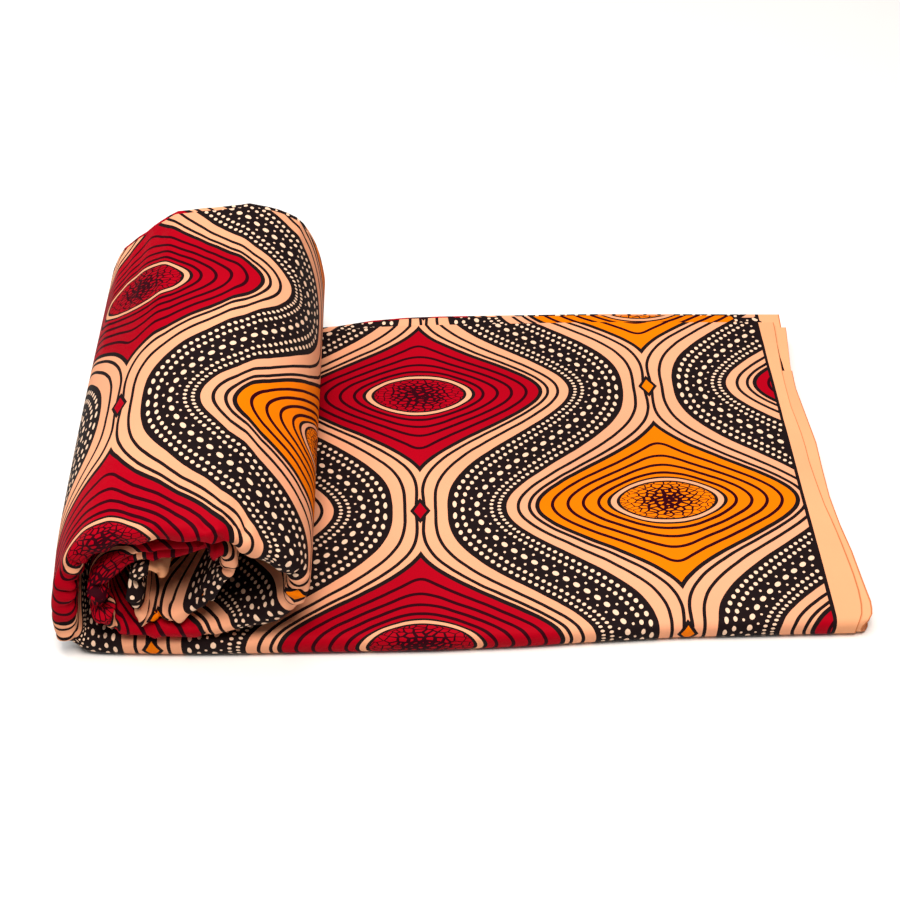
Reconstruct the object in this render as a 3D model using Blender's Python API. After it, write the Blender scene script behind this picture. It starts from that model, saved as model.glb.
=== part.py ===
"""A six-yard length of wax-printed cotton, folded into a flat band and partly rolled up.

The cloth is folded to and fro ten deep and then in half, twenty layers in all, which makes a band
as long as the cloth is wide. The band lies flat with its selvedges at the right-hand end, and its
left-hand part is rolled up towards the right, on top of the band itself.

X runs along the band towards the selvedges, Y goes from the near fold to the far edge, and Z is
up. The origin is the middle of the footprint, on the surface that the cloth lies on.
"""

import math
from collections import namedtuple

import bpy
from mathutils import Vector

# Driving dimensions, in metres
CLOTH_LENGTH = 5.49
LAYERS = 20
FOLD_DEPTH = CLOTH_LENGTH / LAYERS
LAYER_PITCH = 0.000725
PAD = LAYERS * LAYER_PITCH
LEAF = 0.0012
GAP = 0.0003
LEAF_SPREAD = 0.0125
NEAR_Y = -(FOLD_DEPTH + LEAF_SPREAD) / 2
NOSE = 0.0066
NOSE_FULLNESS = 0.80
GROOVE_DEPTH = 0.0030
ROLLED_GROOVE_DEPTH = 0.0050
GROOVE_HEIGHT = 0.0005
GROOVE_SLOPE = 0.00015
SEAM_X = -0.1350
TOP_LEAF_END = 0.2320
HIDDEN_NEAR_END = 0.2330
HIDDEN_FAR_END = 0.2350
TABLE_MIDDLE_X = 0.0012

# The centre line of the rolled band, from under the roll to its core. Each section gives the
# line's place at the near mouth and at the far end, how far the near fold is set back and the
# far edge drawn in, and the band's thickness there.
Section = namedtuple("Section", "x_near z_near x_far z_far set_back draw_in thickness")
ROLL = [
    Section(-0.1350, PAD / 2, -0.1350, PAD / 2, 0.0002, 0.0050, PAD),
    Section(-0.1700, PAD / 2, -0.1680, PAD / 2, 0.0008, 0.0030, PAD),
    Section(-0.1980, PAD / 2, -0.1950, PAD / 2, 0.0018, 0.0012, PAD),
    Section(-0.2190, 0.0079, -0.2130, 0.0090, 0.0026, 0.0004, PAD),
    Section(-0.2304, 0.0132, -0.2250, 0.0170, 0.0034, 0.0000, PAD),
    Section(-0.2343, 0.0256, -0.2316, 0.0300, 0.0045, 0.0000, PAD),
    Section(-0.2333, 0.0430, -0.2332, 0.0470, 0.0060, 0.0000, PAD),
    Section(-0.2300, 0.0575, -0.2315, 0.0630, 0.0085, 0.0000, PAD),
    Section(-0.2225, 0.0720, -0.2230, 0.0790, 0.0115, 0.0000, PAD),
    Section(-0.2110, 0.0850, -0.2065, 0.0945, 0.0120, 0.0000, PAD),
    Section(-0.1960, 0.0958, -0.1870, 0.1080, 0.0095, 0.0002, PAD),
    Section(-0.1780, 0.1040, -0.1700, 0.1125, 0.0060, 0.0005, PAD),
    Section(-0.1590, 0.1090, -0.1530, 0.1145, 0.0025, 0.0005, PAD),
    Section(-0.1420, 0.1085, -0.1370, 0.1150, 0.0005, 0.0005, PAD),
    Section(-0.1270, 0.1025, -0.1205, 0.1108, 0.0000, 0.0008, PAD),
    Section(-0.1135, 0.0925, -0.1095, 0.1022, 0.0010, 0.0010, PAD),
    Section(-0.1025, 0.0810, -0.1030, 0.0885, 0.0030, 0.0012, PAD),
    Section(-0.0965, 0.0680, -0.0996, 0.0710, 0.0045, 0.0015, PAD),
    Section(-0.0975, 0.0545, -0.0993, 0.0550, 0.0040, 0.0020, PAD),
    Section(-0.1050, 0.0425, -0.1040, 0.0415, 0.0035, 0.0024, PAD),
    Section(-0.1175, 0.0330, -0.1150, 0.0315, 0.0030, 0.0024, PAD),
    Section(-0.1330, 0.0257, -0.1310, 0.0247, 0.0024, 0.0022, PAD),
    Section(-0.1500, 0.0223, -0.1490, 0.0223, 0.0018, 0.0020, PAD),
    Section(-0.1690, 0.0218, -0.1670, 0.0218, 0.0014, 0.0020, 0.0138),
    Section(-0.1860, 0.0218, -0.1855, 0.0218, 0.0012, 0.0022, 0.0132),
    Section(-0.1982, 0.0235, -0.1990, 0.0233, 0.0014, 0.0026, 0.0128),
    Section(-0.2070, 0.0300, -0.2095, 0.0292, 0.0022, 0.0030, 0.0124),
    Section(-0.2115, 0.0400, -0.2158, 0.0390, 0.0038, 0.0034, 0.0122),
    Section(-0.2112, 0.0515, -0.2170, 0.0520, 0.0056, 0.0036, 0.0121),
    Section(-0.2078, 0.0615, -0.2135, 0.0645, 0.0074, 0.0036, 0.0120),
    Section(-0.2008, 0.0702, -0.2045, 0.0762, 0.0105, 0.0034, 0.0119),
    Section(-0.1908, 0.0780, -0.1905, 0.0865, 0.0108, 0.0030, 0.0118),
    Section(-0.1780, 0.0852, -0.1765, 0.0940, 0.0098, 0.0028, 0.0117),
    Section(-0.1630, 0.0900, -0.1600, 0.0978, 0.0085, 0.0028, 0.0114),
    Section(-0.1485, 0.0920, -0.1430, 0.0985, 0.0070, 0.0030, 0.0110),
    Section(-0.1403, 0.0910, -0.1280, 0.0945, 0.0058, 0.0034, 0.0104),
    Section(-0.1334, 0.0864, -0.1210, 0.0850, 0.0050, 0.0038, 0.0100),
    Section(-0.1336, 0.0774, -0.1212, 0.0725, 0.0050, 0.0042, 0.0096),
    Section(-0.1416, 0.0638, -0.1268, 0.0595, 0.0052, 0.0046, 0.0092),
    Section(-0.1516, 0.0492, -0.1370, 0.0475, 0.0048, 0.0050, 0.0090),
    Section(-0.1632, 0.0385, -0.1500, 0.0388, 0.0040, 0.0052, 0.0088),
    Section(-0.1759, 0.0336, -0.1640, 0.0346, 0.0030, 0.0054, 0.0086),
    Section(-0.1872, 0.0344, -0.1770, 0.0370, 0.0030, 0.0056, 0.0084),
    Section(-0.1908, 0.0436, -0.1848, 0.0450, 0.0042, 0.0058, 0.0082),
    Section(-0.1897, 0.0568, -0.1858, 0.0560, 0.0056, 0.0060, 0.0080),
    Section(-0.1868, 0.0655, -0.1795, 0.0660, 0.0076, 0.0062, 0.0078),
    Section(-0.1803, 0.0706, -0.1680, 0.0712, 0.0095, 0.0064, 0.0076),
    Section(-0.1740, 0.0660, -0.1585, 0.0672, 0.0115, 0.0066, 0.0074),
    Section(-0.1735, 0.0520, -0.1560, 0.0590, 0.0140, 0.0068, 0.0072),
]

# The near edge of the flat stretch is a soft fold, set back a little more towards the selvedges.
NearLine = namedtuple("NearLine", "x set_back")
NEAR_LINE = [
    NearLine(-0.1350, 0.0002),
    NearLine(-0.0200, 0.0000),
    NearLine(0.0310, 0.0014),
    NearLine(0.0780, 0.0038),
    NearLine(0.1270, 0.0060),
    NearLine(0.2400, 0.0066),
]

# The far edge: how deep the top leaf and the longest hidden leaf reach from the near edge.
FarLine = namedtuple("FarLine", "x top_leaf longest_leaf")
FAR_LINE = [
    FarLine(-0.1350, 0.2695, 0.2750),
    FarLine(-0.0970, 0.2690, 0.2755),
    FarLine(-0.0620, 0.2736, 0.2833),
    FarLine(-0.0300, 0.2750, 0.2868),
    FarLine(0.1000, 0.2757, 0.2870),
    FarLine(0.2400, 0.2722, 0.2832),
]

# The selvedge end: where the top leaf and the longest hidden leaf end, at depths from the near edge.
EndLine = namedtuple("EndLine", "depth top_leaf longest_leaf")
END_LINE = [
    EndLine(0.0060, 0.2335, 0.2405),
    EndLine(0.0130, 0.2350, 0.2440),
    EndLine(0.0220, 0.2358, 0.2432),
    EndLine(0.0600, 0.2330, 0.2385),
    EndLine(0.1250, 0.2304, 0.2368),
    EndLine(0.2000, 0.2268, 0.2358),
    EndLine(0.2200, 0.2262, 0.2350),
    EndLine(0.2650, 0.2296, 0.2392),
    EndLine(0.2860, 0.2296, 0.2385),
]

# The hidden layers lie as four leaves of folds. Each falls short of the longest one by its own
# amount at the selvedge end and at the far edge.
HiddenLeaf = namedtuple("HiddenLeaf", "short_of_end short_of_far")
HIDDEN_LEAVES = [
    HiddenLeaf(0.0022, 0.0045),
    HiddenLeaf(0.0000, 0.0015),
    HiddenLeaf(0.0034, 0.0062),
    HiddenLeaf(0.0010, 0.0000),
]

# The rolled band's far edge shows five leaves, each at its own reach past the fold's depth.
ROLLED_LEAF_REACH = [0.0000, 0.0042, 0.0018, 0.0055, 0.0006]

# The largest soft creases of the roll: the row of ROLL that each lies at, its place across the
# band's depth (0 at the near fold, 1 at the far edge), half-length in rows, half-width across,
# and the rise of the surface, which is negative for a trough.
Crease = namedtuple("Crease", "row across half_rows half_across rise")
CREASES = [
    Crease(6.8, 0.00, 1.5, 0.10, -0.0022),
    Crease(6.5, 0.50, 2.0, 0.35, 0.0011),
    Crease(10.5, 0.02, 1.2, 0.10, -0.0020),
    Crease(13.5, 0.05, 0.8, 0.16, 0.0014),
    Crease(12.0, 0.93, 1.3, 0.12, -0.0010),
    Crease(19.0, 0.04, 1.0, 0.12, 0.0018),
    Crease(21.0, 0.10, 0.8, 0.20, -0.0010),
    Crease(30.0, 0.02, 0.9, 0.08, -0.0012),
    Crease(39.5, 0.00, 1.0, 0.10, 0.0012),
    Crease(43.0, 0.02, 0.8, 0.12, -0.0010),
]

# The stretches of the roll that show, each from one row of ROLL to another.
Stretch = namedtuple("Stretch", "name first_row last_row stations finish colour")
ROLLED_STRETCHES = [
    Stretch("outer_turn", 0, 22, 56, "red_print", (0.55, 0.005, 0.02)),
    Stretch("second_turn", 22, 34, 34, "black_print", (0.02, 0.015, 0.018)),
    Stretch("core_turn", 34, 48, 34, "amber_print", (0.85, 0.20, 0.01)),
]


def clear_scene():
    for obj in list(bpy.data.objects):
        bpy.data.objects.remove(obj, do_unlink=True)


def new_collection(name):
    collection = bpy.data.collections.new(name)
    bpy.context.scene.collection.children.link(collection)
    return collection


def cloth_material(name, colour):
    """Smooth printed cotton with a slight wax finish."""
    material = bpy.data.materials.new(name)
    material.use_nodes = True
    shader = material.node_tree.nodes["Principled BSDF"]
    shader.inputs["Base Color"].default_value = (*colour, 1.0)
    shader.inputs["Roughness"].default_value = 0.62
    shader.inputs["Metallic"].default_value = 0.0
    return material


def read_line(rows, key, column, value):
    """Straight-line reading of one column of a table, at a value of its key column."""
    keys = [getattr(row, key) for row in rows]
    reads = [getattr(row, column) for row in rows]
    if value <= keys[0]:
        return reads[0]
    for i in range(len(keys) - 1):
        if value <= keys[i + 1]:
            share = (value - keys[i]) / (keys[i + 1] - keys[i])
            return reads[i] + share * (reads[i + 1] - reads[i])
    return reads[-1]


def smooth_between(a, b, c, d, share):
    """Catmull-Rom curve from b to c."""
    first = 2 * b
    second = (c - a) * share
    third = (2 * a - 5 * b + 4 * c - d) * share**2
    fourth = (3 * b - a - 3 * c + d) * share**3
    return (first + second + third + fourth) / 2


def read_roll(place):
    """The roll's section at a place in its table, where 1.5 is halfway between the second two rows."""
    last = len(ROLL) - 1
    index = min(int(place), last - 1)
    share = place - index
    columns = []
    for column in range(len(Section._fields)):
        b = ROLL[index][column]
        c = ROLL[index + 1][column]
        a = ROLL[index - 1][column] if index > 0 else 2 * b - c
        d = ROLL[index + 2][column] if index + 2 <= last else 2 * c - b
        columns.append(smooth_between(a, b, c, d, share))
    return Section(*columns)


def travel(before, after):
    """The step from one section to the next, along the middle of the band."""
    step_x = (after.x_near + after.x_far - before.x_near - before.x_far) / 2
    step_z = (after.z_near + after.z_far - before.z_near - before.z_far) / 2
    return math.hypot(step_x, step_z)


def even_places(first_row, last_row, count):
    """Places in the roll's table at even distances, half a gap in from both ends."""
    span = last_row - first_row
    places = [first_row + span * i / FINE_STEPS for i in range(FINE_STEPS + 1)]
    travelled = [0.0]
    for before, after in zip(places, places[1:]):
        travelled.append(travelled[-1] + travel(read_roll(before), read_roll(after)))
    length = travelled[-1]
    found = []
    index = 0
    for i in range(count):
        target = GAP / 2 + (length - GAP) * i / (count - 1)
        while travelled[index + 1] < target:
            index += 1
        share = (target - travelled[index]) / (travelled[index + 1] - travelled[index])
        found.append(places[index] + share * (places[index + 1] - places[index]))
    return found


def nose_point(share):
    """Round the near fold, from its upper face (0) to its lower face (1).

    Gives the depth from the front of the fold, as a share of NOSE, and the height, from 1 to -1.
    """
    angle = math.pi / 2 - math.pi * share
    height = math.copysign(abs(math.sin(angle)) ** NOSE_FULLNESS, math.sin(angle))
    return 1 - abs(math.cos(angle)) ** NOSE_FULLNESS, height


# Points of the band's outline from the far edge of one face, round the near fold, to that of the
# other face.
FACE_SHARES = (1.0, 0.80, 0.55, 0.30, 0.12)
NOSE_STEPS = 8
FACE_POINTS = 2 * len(FACE_SHARES) + NOSE_STEPS + 1

# Points of the flat stretch: round its near fold, along it, and along the hidden layers' edges.
WRAP_NOSE_STEPS = 12
WRAP_STATIONS = 18
HIDDEN_STEPS = 10

# How far before and after a place, in rows, the roll's direction there is read.
DIRECTION_STEP = 0.05
FINE_STEPS = 600


def band_profile():
    """The band's outline across its depth: (share of depth, offset in depth, share of thickness).

    It starts at the far edge of the outer face, goes round the near fold to the inner face, and
    comes back along the leaf edges at the far side.
    """
    outline = []
    for share in FACE_SHARES:
        outline.append((share, 0.0, 0.5))
    for i in range(NOSE_STEPS + 1):
        depth, height = nose_point(i / NOSE_STEPS)
        outline.append((0.0, NOSE * depth, 0.5 * height))
    for share in reversed(FACE_SHARES):
        outline.append((share, 0.0, -0.5))
    leaves = len(ROLLED_LEAF_REACH)
    groove = GROOVE_HEIGHT / PAD
    for i, reach in enumerate(ROLLED_LEAF_REACH):
        low = -0.5 + i / leaves
        high = low + 1 / leaves
        if i > 0:
            outline.append((1.0, reach - ROLLED_GROOVE_DEPTH, low + groove / 2))
            outline.append((1.0, reach, low + groove))
        else:
            outline[-1] = (1.0, reach, low)
        if i < leaves - 1:
            outline.append((1.0, reach, high - groove))
        else:
            outline[0] = (1.0, reach, high)
    return outline


def crease_rise(row, across):
    total = 0.0
    for crease in CREASES:
        first = (row - crease.row) / crease.half_rows
        second = (across - crease.across) / crease.half_across
        total += crease.rise * math.exp(-(first**2) - second**2)
    return total


def rolled_rings(stretch):
    """Rings of points round the band, one at each station of a rolled stretch."""
    rings = []
    profile = band_profile()
    last = len(ROLL) - 1
    for place in even_places(stretch.first_row, stretch.last_row, stretch.stations):
        section = read_roll(place)
        before = read_roll(max(place - DIRECTION_STEP, 0))
        after = read_roll(min(place + DIRECTION_STEP, last))
        near_dir = Vector((after.x_near - before.x_near, after.z_near - before.z_near)).normalized()
        far_dir = Vector((after.x_far - before.x_far, after.z_far - before.z_far)).normalized()
        near_y = NEAR_Y + section.set_back
        far_y = NEAR_Y + FOLD_DEPTH - section.draw_in
        ring = []
        for share, offset, height in profile:
            direction = near_dir.lerp(far_dir, share).normalized()
            outward = Vector((-direction.y, direction.x))
            x = section.x_near + share * (section.x_far - section.x_near)
            z = section.z_near + share * (section.z_far - section.z_near)
            y = near_y + share * (far_y - near_y) + offset
            lift = height * section.thickness + crease_rise(place, share)
            ring.append(Vector((x + outward.x * lift, y, max(z + outward.y * lift, 0.0))))
        rings.append(ring)
    return rings


def wrap_rings():
    """Rings of the outer leaf, which goes over the hidden layers and round their near fold."""
    rings = []
    for i in range(WRAP_STATIONS):
        along = i / (WRAP_STATIONS - 1)
        outer = []
        inner = []
        for wall, points in ((0.0, outer), (LEAF, inner)):
            low = wall
            high = PAD - wall
            for share in FACE_SHARES:
                points.append((share, 0.0, high))
            for step in range(WRAP_NOSE_STEPS + 1):
                depth, height = nose_point(step / WRAP_NOSE_STEPS)
                offset = wall + (NOSE - wall / 2) * depth
                points.append((0.0, offset, PAD / 2 + (high - low) / 2 * height))
            for share in reversed(FACE_SHARES):
                points.append((share, 0.0, low))
        ring = []
        rough_x = SEAM_X + along * (TOP_LEAF_END - SEAM_X)
        near_y = read_line(NEAR_LINE, "x", "set_back", rough_x)
        far_y = read_line(FAR_LINE, "x", "top_leaf", rough_x)
        for share, offset, z in outer + inner[::-1]:
            depth = near_y + share * (far_y - near_y) + offset
            end = read_line(END_LINE, "depth", "top_leaf", depth)
            x = SEAM_X + along * (end - SEAM_X)
            ring.append(Vector((x, NEAR_Y + depth, z)))
        rings.append(ring)
    return rings


def hidden_outline(z, short_of_end, short_of_far):
    """The hidden layers' outline seen from above, at one height inside the outer leaf."""
    half_height = PAD / 2 - LEAF - GAP
    from_middle = min(1.0, abs(z - PAD / 2) / half_height)
    bow = (NOSE - LEAF / 2) * (1 - (1 - from_middle ** (2 / NOSE_FULLNESS)) ** (NOSE_FULLNESS / 2))
    outline = []
    for i in range(HIDDEN_STEPS + 1):
        x = SEAM_X + (HIDDEN_NEAR_END - SEAM_X) * i / HIDDEN_STEPS
        depth = read_line(NEAR_LINE, "x", "set_back", x) + LEAF + GAP + bow
        outline.append((x, NEAR_Y + depth))
    for row in END_LINE[1:-1]:
        outline.append((row.longest_leaf - short_of_end, NEAR_Y + row.depth))
    for i in range(HIDDEN_STEPS, -1, -1):
        x = SEAM_X + (HIDDEN_FAR_END - short_of_end - SEAM_X) * i / HIDDEN_STEPS
        depth = read_line(FAR_LINE, "x", "longest_leaf", x) - short_of_far
        outline.append((x, NEAR_Y + depth))
    return outline


def hidden_rings():
    """Level outlines of the hidden layers, from the bottom up, in and out at each leaf's edge."""
    bottom = LEAF + GAP
    height = (PAD - 2 * bottom) / len(HIDDEN_LEAVES)
    levels = []
    for i, leaf in enumerate(HIDDEN_LEAVES):
        low = bottom + i * height
        high = low + height
        if i > 0:
            inner_end = leaf.short_of_end + GROOVE_DEPTH
            inner_far = leaf.short_of_far + GROOVE_DEPTH
            levels.append((low, inner_end, inner_far))
            levels.append((low + GROOVE_SLOPE, leaf.short_of_end, leaf.short_of_far))
        else:
            levels.append((low, leaf.short_of_end, leaf.short_of_far))
        if i < len(HIDDEN_LEAVES) - 1:
            inner_end = leaf.short_of_end + GROOVE_DEPTH
            inner_far = leaf.short_of_far + GROOVE_DEPTH
            groove = high - GROOVE_HEIGHT
            levels.append((groove - GROOVE_SLOPE, leaf.short_of_end, leaf.short_of_far))
            levels.append((groove, inner_end, inner_far))
        else:
            levels.append((high, leaf.short_of_end, leaf.short_of_far))
    rings = []
    for z, short_of_end, short_of_far in levels:
        outline = hidden_outline(z, short_of_end, short_of_far)
        rings.append([Vector((x, y, z)) for x, y in outline])
    return rings


def cap_faces(size, fold):
    """Faces across an end ring, in strips between the points that lie opposite each other.

    Points j and fold - j are opposite. A flat ring with no such pairs is one face.
    """
    if fold is None:
        return [tuple(range(size))]
    start = (fold - 1) // 2
    faces = []
    if fold % 2 == 0:
        faces.append((start, start + 1, start + 2))
    pairs = (size - 1 + fold % 2) // 2
    for j in range(start, start - pairs + 1, -1):
        faces.append(tuple(point % size for point in (j - 1, j, fold - j, fold - j + 1)))
    return faces


def loft(name, rings, fold, material, collection):
    """A closed solid through rings that all have the same number of points."""
    size = len(rings[0])
    points = [(point.x - TABLE_MIDDLE_X, point.y, point.z) for ring in rings for point in ring]
    caps = cap_faces(size, fold)
    faces = [tuple(reversed(face)) for face in caps]
    for i in range(len(rings) - 1):
        for j in range(size):
            k = (j + 1) % size
            first = i * size
            second = first + size
            faces.append((first + j, first + k, second + k, second + j))
    last = (len(rings) - 1) * size
    faces += [tuple(last + point for point in face) for face in caps]
    mesh = bpy.data.meshes.new(name)
    mesh.from_pydata(points, [], faces)
    if signed_volume(points, faces) < 0:
        mesh.flip_normals()
    mesh.materials.append(material)
    mesh.shade_smooth()
    mesh.set_sharp_from_angle(angle=math.radians(40))
    obj = bpy.data.objects.new(name, mesh)
    collection.objects.link(obj)
    return obj


def signed_volume(points, faces):
    total = 0.0
    for face in faces:
        first = Vector(points[face[0]])
        for i in range(1, len(face) - 1):
            second = Vector(points[face[i]])
            third = Vector(points[face[i + 1]])
            total += first.dot(second.cross(third)) / 6
    return total


clear_scene()
bundle = new_collection("folded_wax_print_cloth")

peach = cloth_material("peach_cotton", (0.95, 0.55, 0.26))
loft("hidden_layers", hidden_rings(), None, peach, bundle)
orange = cloth_material("orange_print", (0.95, 0.32, 0.01))
wrap = wrap_rings()
loft("flat_stretch", wrap, len(wrap[0]) - 1, orange, bundle)
for stretch in ROLLED_STRETCHES:
    finish = cloth_material(stretch.finish, stretch.colour)
    loft(stretch.name, rolled_rings(stretch), FACE_POINTS - 1, finish, bundle)
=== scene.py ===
"""Looks of a six-yard length of wax-printed cotton, folded into a flat band and partly rolled up.

The cloth is folded to and fro, and then in half, so that ten leaves lie one inside another. Each
leaf is a long U: it lies on top of the band, goes round the near fold and comes back underneath.
The band's left-hand part is rolled up to the right, on top of the band itself.
"""

import math
from collections import namedtuple

import bpy
import numpy as np
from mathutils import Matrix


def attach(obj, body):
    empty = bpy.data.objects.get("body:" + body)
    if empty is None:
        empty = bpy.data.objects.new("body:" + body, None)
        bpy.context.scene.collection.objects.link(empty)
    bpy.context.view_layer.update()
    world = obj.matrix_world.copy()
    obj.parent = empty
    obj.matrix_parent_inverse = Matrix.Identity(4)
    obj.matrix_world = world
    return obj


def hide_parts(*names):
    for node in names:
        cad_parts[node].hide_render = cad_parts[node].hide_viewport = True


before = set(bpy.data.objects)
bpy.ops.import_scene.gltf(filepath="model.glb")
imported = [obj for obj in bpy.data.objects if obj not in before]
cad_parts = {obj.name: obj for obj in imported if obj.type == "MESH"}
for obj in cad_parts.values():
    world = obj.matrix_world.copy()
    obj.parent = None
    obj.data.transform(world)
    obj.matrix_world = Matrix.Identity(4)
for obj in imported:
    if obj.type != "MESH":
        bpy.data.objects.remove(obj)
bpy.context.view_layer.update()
bpy.ops.object.select_all(action="DESELECT")

# Outer leaf, flat stretch
# The outermost leaf of the pile, from its right-hand selvedge to where it goes under the roll. It
# is plain-woven cotton with a wax-resist print that goes through to its back, and nothing is sewn.

# Lengths are in metres. X in the tables starts MIDDLE_X to the left of the part's origin. NEAR_Y is
# the plane of the near fold, which is NOSE deep, and rounder the nearer NOSE_FULLNESS is to 1.
MIDDLE_X = 0.0012
CLOTH_LENGTH = 5.49
CLOTH_WIDTH = 1.12
CLOTH_THICKNESS = 0.00045
LEAVES = 10
FOLD_DEPTH = CLOTH_LENGTH / (2 * LEAVES)
BAND_THICKNESS = 0.0145
MARGIN = 0.0150
NEAR_Y = -0.1435
NOSE = 0.0066
NOSE_FULLNESS = 0.80
SEAM_X = -0.1350
SELVEDGE_X = 0.2331

# How far the near fold is set back, and where the leaves' far edges and selvedges lie. depth is
# counted from NEAR_Y. None of the edges is quite straight.
NearLine = namedtuple("NearLine", "x set_back")
NEAR_LINE = [
    NearLine(-0.1350, 0.0002),
    NearLine(-0.0200, 0.0000),
    NearLine(0.0310, 0.0014),
    NearLine(0.0780, 0.0038),
    NearLine(0.1270, 0.0060),
    NearLine(0.2400, 0.0066),
]
FarLine = namedtuple("FarLine", "x top_leaf longest_leaf")
FAR_LINE = [
    FarLine(-0.1350, 0.2695, 0.2750),
    FarLine(-0.0970, 0.2690, 0.2755),
    FarLine(-0.0620, 0.2736, 0.2833),
    FarLine(-0.0300, 0.2750, 0.2868),
    FarLine(0.1000, 0.2757, 0.2870),
    FarLine(0.2400, 0.2722, 0.2832),
]
EndLine = namedtuple("EndLine", "depth top_leaf second_leaf third_leaf lower_leaf")
END_LINE = [
    EndLine(0.0000, 0.2300, 0.2296, 0.2290, 0.2290),
    EndLine(0.0066, 0.2312, 0.2330, 0.2325, 0.2325),
    EndLine(0.0090, 0.2325, 0.2378, 0.2350, 0.2352),
    EndLine(0.0135, 0.2346, 0.2408, 0.2368, 0.2380),
    EndLine(0.0206, 0.2359, 0.2422, 0.2370, 0.2390),
    EndLine(0.0300, 0.2365, 0.2414, 0.2366, 0.2386),
    EndLine(0.0440, 0.2362, 0.2404, 0.2358, 0.2378),
    EndLine(0.0600, 0.2348, 0.2394, 0.2345, 0.2366),
    EndLine(0.0713, 0.2338, 0.2384, 0.2340, 0.2356),
    EndLine(0.0850, 0.2322, 0.2362, 0.2336, 0.2344),
    EndLine(0.0960, 0.2304, 0.2352, 0.2332, 0.2338),
    EndLine(0.1180, 0.2288, 0.2348, 0.2330, 0.2334),
    EndLine(0.1370, 0.2279, 0.2358, 0.2330, 0.2336),
    EndLine(0.1480, 0.2282, 0.2366, 0.2330, 0.2338),
    EndLine(0.1666, 0.2277, 0.2354, 0.2328, 0.2334),
    EndLine(0.1861, 0.2258, 0.2341, 0.2324, 0.2328),
    EndLine(0.2055, 0.2258, 0.2328, 0.2318, 0.2316),
    EndLine(0.2200, 0.2262, 0.2335, 0.2326, 0.2320),
    EndLine(0.2420, 0.2276, 0.2350, 0.2352, 0.2338),
    EndLine(0.2663, 0.2296, 0.2350, 0.2380, 0.2350),
    EndLine(0.2860, 0.2297, 0.2350, 0.2384, 0.2362),
]


def read_line(rows, key, column, values):
    """Straight-line reading of one column of a table, at values of its key column."""
    keys = [getattr(row, key) for row in rows]
    return np.interp(values, keys, [getattr(row, column) for row in rows])


def graded(count, closeness):
    """Shares from 0 to 1 that lie closer together at both ends."""
    even = np.linspace(0, 1, count)
    return even + closeness * (np.sin(2 * math.pi * even) / (-2 * math.pi))


EDGE_GRADING = 0.75


def leaf_outline(face_points, nose_points):
    """A leaf's U, from its far edge underneath, round the near fold, to its far edge on top.

    Gives each point's share of the depth and its angle round the near fold, from a quarter turn
    on the underside to minus a quarter turn on top.
    """
    face = graded(face_points, EDGE_GRADING)[::-1]
    angle = np.linspace(math.pi / 2, -math.pi / 2, nose_points)[1:-1]
    share = np.concatenate([face, 0 * angle, face[::-1]])
    quarter = 0 * face + math.pi / 2
    return share, np.concatenate([quarter, angle, -quarter])


def near_fold(angle, fullness):
    """Place in the near fold, from 0 in front to 1 at the back, and height, 1 below to -1 on top."""
    sine, cosine = np.sin(angle), np.abs(np.cos(angle))
    cosine = np.where(cosine < 1e-9, 0, cosine)
    return 1 - cosine**fullness, np.sign(sine) * np.abs(sine) ** fullness


def wall_faces(rows, columns):
    """Faces of a thin closed wall between two grids of points, one after the other."""
    number = np.arange(rows * columns).reshape(rows, columns)
    below = rows * columns
    quads = np.stack([number[:-1, :-1], number[:-1, 1:], number[1:, 1:], number[1:, :-1]], -1)
    faces = [quads.reshape(-1, 4), quads.reshape(-1, 4)[:, ::-1] + below]
    for line in (number[0, ::-1], number[-1], number[:, 0], number[::-1, -1]):
        a, b = line[:-1], line[1:]
        faces.append(np.stack([a, b, b + below, a + below], -1))
    return np.concatenate(faces)


def cloth_piece(name, walls):
    """One object of thin walls, with the cloth's own measures as its UV map.

    Each wall is its outer points, its inner points, and how far each point is from the selvedge
    and from the front of the near fold.
    """
    points, faces, measures = [], [], []
    count = 0
    for outer, inner, from_selvedge, round_fold in walls:
        rows, columns = outer.shape[:2]
        wall = wall_faces(rows, columns)
        corners = wall.reshape(-1) % (rows * columns)
        measures.append(np.stack([from_selvedge.ravel()[corners], round_fold.ravel()[corners]], -1))
        points += [outer.reshape(-1, 3), inner.reshape(-1, 3)]
        faces.append(wall + count)
        count += 2 * rows * columns
    mesh = bpy.data.meshes.new(name)
    mesh.from_pydata(np.concatenate(points).tolist(), [], np.concatenate(faces).tolist())
    cloth_map = mesh.uv_layers.new(name="cloth")
    cloth_map.data.foreach_set("uv", np.concatenate(measures).astype(np.float32).ravel())
    mesh.shade_smooth()
    mesh.set_sharp_from_angle(angle=math.radians(60))
    obj = bpy.data.objects.new(name, mesh)
    bpy.context.scene.collection.objects.link(obj)
    if signed_volume(obj) < 0:
        mesh.flip_normals()
    return obj


def signed_volume(obj):
    """The volume inside a closed mesh, below 0 where its faces look inwards."""
    mesh = obj.data
    mesh.calc_loop_triangles()
    points = np.empty(len(mesh.vertices) * 3)
    mesh.vertices.foreach_get("co", points)
    corners = np.empty(len(mesh.loop_triangles) * 3, np.int64)
    mesh.loop_triangles.foreach_get("vertices", corners)
    a, b, c = points.reshape(-1, 3)[corners.reshape(-1, 3)].transpose(1, 0, 2)
    return float((a * np.cross(b, c)).sum() / 6)


def rows_along(close_from, wide_rows, close_rows):
    """Places along the flat stretch that lie closer together from close_from to the selvedge."""
    wide = np.linspace(0, close_from, wide_rows)
    return np.concatenate([wide, np.linspace(close_from, 1, close_rows)[1:]])


def round_the_leaf(points, outline):
    """How far each point is from the front of the near fold, round the leaf, below 0 on top."""
    steps = np.linalg.norm(np.diff(points, axis=1), axis=2)
    travelled = np.concatenate([np.zeros((len(points), 1)), np.cumsum(steps, axis=1)], axis=1)
    front = len(outline[0]) // 2
    return travelled[:, front : front + 1] - travelled


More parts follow.
